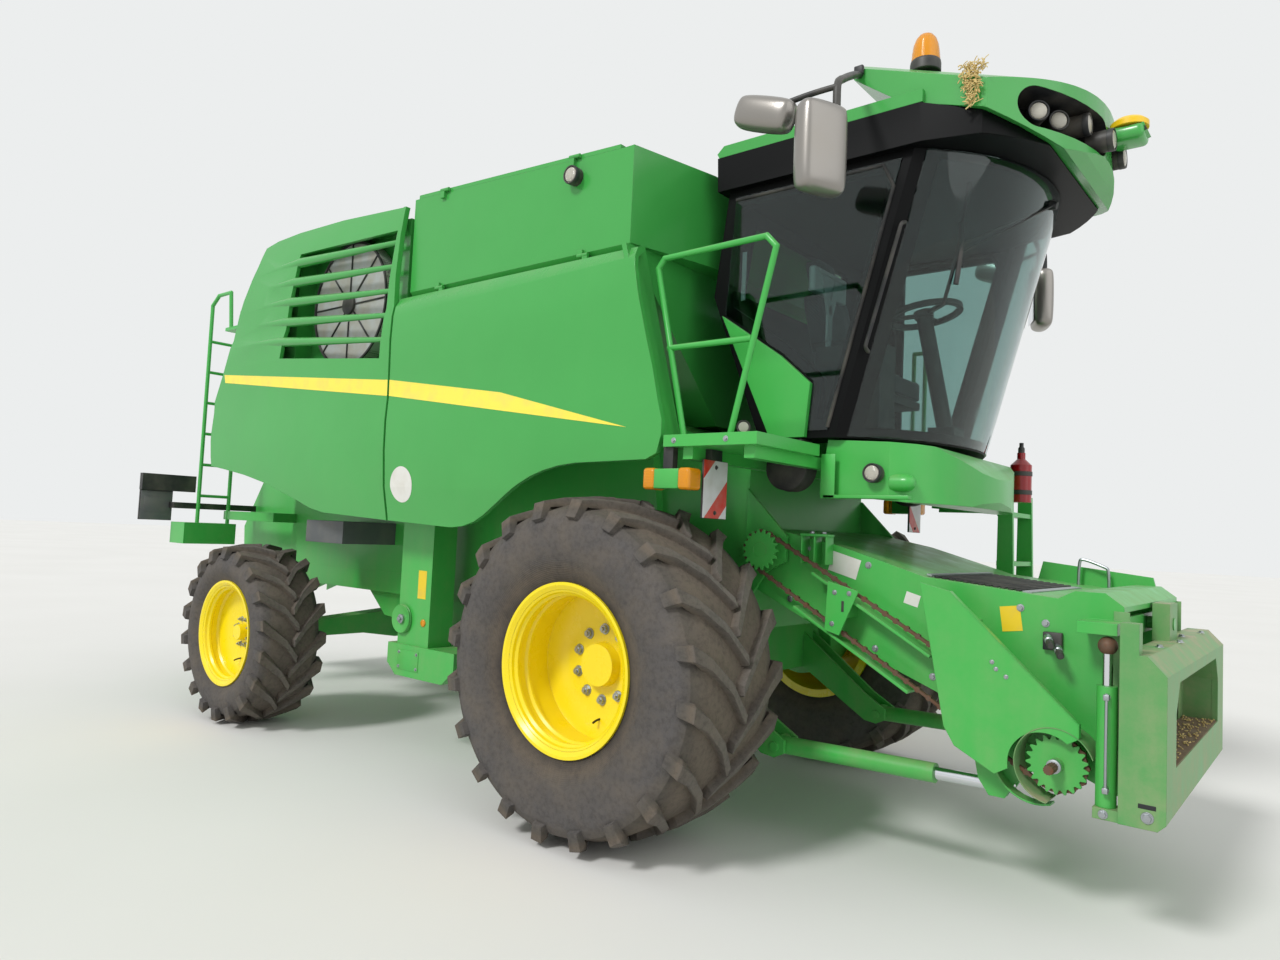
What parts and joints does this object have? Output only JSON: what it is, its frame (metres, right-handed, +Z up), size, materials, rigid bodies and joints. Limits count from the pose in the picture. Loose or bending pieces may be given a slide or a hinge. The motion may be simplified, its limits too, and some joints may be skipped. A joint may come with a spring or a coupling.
{
  "type": "combine harvester",
  "caption": "Self-propelled combine harvester without header: high front tyres, steered rear wheels, bowed glass cab, grain tank, feeder house with header frame, opening side panels.",
  "frame": {"origin": "centre of the footprint box on the floor", "axes": "+X forward, +Y to the machine's left, +Z up"},
  "size_m": [8.47, 3.49, 4.325],
  "materials": {
    "paint": "satin green enamel, dusty low down",
    "tyre": "worn black-brown rubber",
    "rim": "gloss yellow enamel",
    "glass": "tinted laminated glass",
    "dark_plastic": "grained black plastic",
    "rod": "hard chrome",
    "screen": "dusty grey sheet",
    "grey": "matt grey",
    "amber": "clear amber",
    "red": "gloss red enamel",
    "chain": "rusty oiled steel",
    "lamp": "clear lens"
  },
  "bodies": {
    "root": {"chassis": "paint", "front_axle": "paint", "rear_axle": "paint", "separator_housing": "paint", "rear_hood": "paint", "engine": "grey", "grain_tank": "paint", "auger_turret": "paint", "cab_frame": "dark_plastic", "cab_roof": "dark_plastic", "roof_visor": "paint", "cab_glass": "glass", "seat": "dark_plastic", "cab_controls": "dark_plastic", "nose_console": "paint", "platforms": "paint", "extinguisher": "red", "mirrors": "dark_plastic", "work_lamps": "lamp", "beacon": "amber", "receiver_dome": "amber", "grain_elevators": "paint", "rear_ladder": "paint", "light_boards": "dark_plastic", "straw_chopper": "paint", "side_boxes": "grey", "front_signs": "lamp"},
    "feeder": {"feeder_house": "paint", "feeder_sides": "paint", "feeder_drive": "paint", "drive_chain": "chain"},
    "adapter": {"adapter_frame": "paint", "tilt_barrel": "paint"},
    "tilt_rod": {"tilt_rod": "rod"},
    "lift_barrels": {"lift_barrels": "paint"},
    "lift_rods": {"lift_rods": "rod"},
    "wheel_front_left": {"tyre_front_left": "tyre", "rim_front_left": "rim"},
    "wheel_front_right": {"tyre_front_right": "tyre", "rim_front_right": "rim"},
    "knuckle_left": {"knuckle_left": "paint"},
    "knuckle_right": {"knuckle_right": "paint"},
    "wheel_rear_left": {"tyre_rear_left": "tyre", "rim_rear_left": "rim"},
    "wheel_rear_right": {"tyre_rear_right": "tyre", "rim_rear_right": "rim"},
    "door": {"cab_door": "dark_plastic", "door_glass": "glass"},
    "panel_front_left": {"panel_front_left": "paint"},
    "panel_front_right": {"panel_front_right": "paint"},
    "panel_rear_left": {"panel_rear_left": "paint"},
    "panel_rear_right": {"panel_rear_right": "paint"},
    "auger": {"unloading_auger": "paint"},
    "lid_left": {"tank_lid_left": "paint"},
    "lid_right": {"tank_lid_right": "paint"},
    "ladder": {"cab_ladder": "paint"},
    "screen": {"rotary_screen": "screen"}
  },
  "joints": [
    {"name": "front_left_roll", "type": "hinge", "parent": "root", "child": "wheel_front_left", "pos_m": [1.665, 1.345, 0.905], "axis": [0, 1, 0], "continuous": true},
    {"name": "front_right_roll", "type": "hinge", "parent": "root", "child": "wheel_front_right", "pos_m": [1.665, -1.345, 0.905], "axis": [0, 1, 0], "continuous": true},
    {"name": "steer_left", "type": "hinge", "parent": "root", "child": "knuckle_left", "pos_m": [-1.985, 1.12, 0.695], "axis": [0, 0, 1], "range_deg": [-40, 40]},
    {"name": "steer_right", "type": "hinge", "parent": "root", "child": "knuckle_right", "pos_m": [-1.985, -1.12, 0.695], "axis": [0, 0, 1], "range_deg": [-40, 40]},
    {"name": "rear_left_roll", "type": "hinge", "parent": "knuckle_left", "child": "wheel_rear_left", "pos_m": [-1.985, 1.46, 0.695], "axis": [0, 1, 0], "continuous": true},
    {"name": "rear_right_roll", "type": "hinge", "parent": "knuckle_right", "child": "wheel_rear_right", "pos_m": [-1.985, -1.46, 0.695], "axis": [0, 1, 0], "continuous": true},
    {"name": "feeder_lift", "type": "hinge", "parent": "root", "child": "feeder", "pos_m": [2.285, 0, 1.56], "axis": [0, -1, 0], "range_deg": [-10, 20]},
    {"name": "adapter_tilt", "type": "hinge", "parent": "feeder", "child": "adapter", "pos_m": [4.065, 0, 1.3], "axis": [1, 0, 0], "range_deg": [-5, 5]},
    {"name": "tilt_rod_slide", "type": "slide", "parent": "adapter", "child": "tilt_rod", "axis": [0, 0, 1], "range_m": [-0.08, 0.08]},
    {"name": "lift_barrel_turn", "type": "hinge", "parent": "root", "child": "lift_barrels", "pos_m": [2.365, 0, 0.5], "axis": [0, -1, 0], "range_deg": [-12, 22]},
    {"name": "lift_rod_slide", "type": "slide", "parent": "lift_barrels", "child": "lift_rods", "axis": [0.9997, 0, 0.0254], "range_m": [-0.19, 0.38]},
    {"name": "door_hinge", "type": "hinge", "parent": "root", "child": "door", "pos_m": [2.278, 0.881, 2.9], "axis": [0, 0, 1], "range_deg": [0, 80]},
    {"name": "front_panel_left_lift", "type": "hinge", "parent": "root", "child": "panel_front_left", "pos_m": [0.865, 1.412, 3.182], "axis": [1, 0, 0], "range_deg": [0, 65]},
    {"name": "front_panel_right_lift", "type": "hinge", "parent": "root", "child": "panel_front_right", "pos_m": [0.865, -1.412, 3.182], "axis": [-1, 0, 0], "range_deg": [0, 65]},
    {"name": "rear_panel_left_swing", "type": "hinge", "parent": "root", "child": "panel_rear_left", "pos_m": [-2.765, 1.44, 2.375], "axis": [0, 0, 1], "range_deg": [0, 75]},
    {"name": "rear_panel_right_swing", "type": "hinge", "parent": "root", "child": "panel_rear_right", "pos_m": [-2.765, -1.44, 2.375], "axis": [0, 0, -1], "range_deg": [0, 75]},
    {"name": "lid_left_lift", "type": "hinge", "parent": "root", "child": "lid_left", "pos_m": [1.66567, 1.414, 3.76278], "axis": [-0.9986, 0, 0.0526], "range_deg": [0, 100]},
    {"name": "lid_right_lift", "type": "hinge", "parent": "root", "child": "lid_right", "pos_m": [1.66567, -1.414, 3.76278], "axis": [0.9986, 0, -0.0526], "range_deg": [0, 100]},
    {"name": "auger_swing", "type": "hinge", "parent": "root", "child": "auger", "pos_m": [1.605, 1.57, 3.5], "axis": [0, 0, -1], "range_deg": [0, 100]},
    {"name": "ladder_swing", "type": "hinge", "parent": "root", "child": "ladder", "pos_m": [2.955, 1.6, 1.2], "axis": [0, 0, 1], "range_deg": [0, 90]},
    {"name": "screen_spin", "type": "hinge", "parent": "root", "child": "screen", "pos_m": [-1.055, -1.3, 3.23], "axis": [0, 1, 0], "continuous": true}
  ],
  "couplings": [
    {"joint": "steer_right", "follows": "steer_left", "ratio": 1},
    {"joint": "lift_barrel_turn", "follows": "feeder_lift", "ratio": 0.98},
    {"joint": "lift_rod_slide", "follows": "feeder_lift", "m_per_rad": 1.051},
    {"joint": "tilt_rod_slide", "follows": "adapter_tilt", "m_per_rad": 0.86}
  ]
}
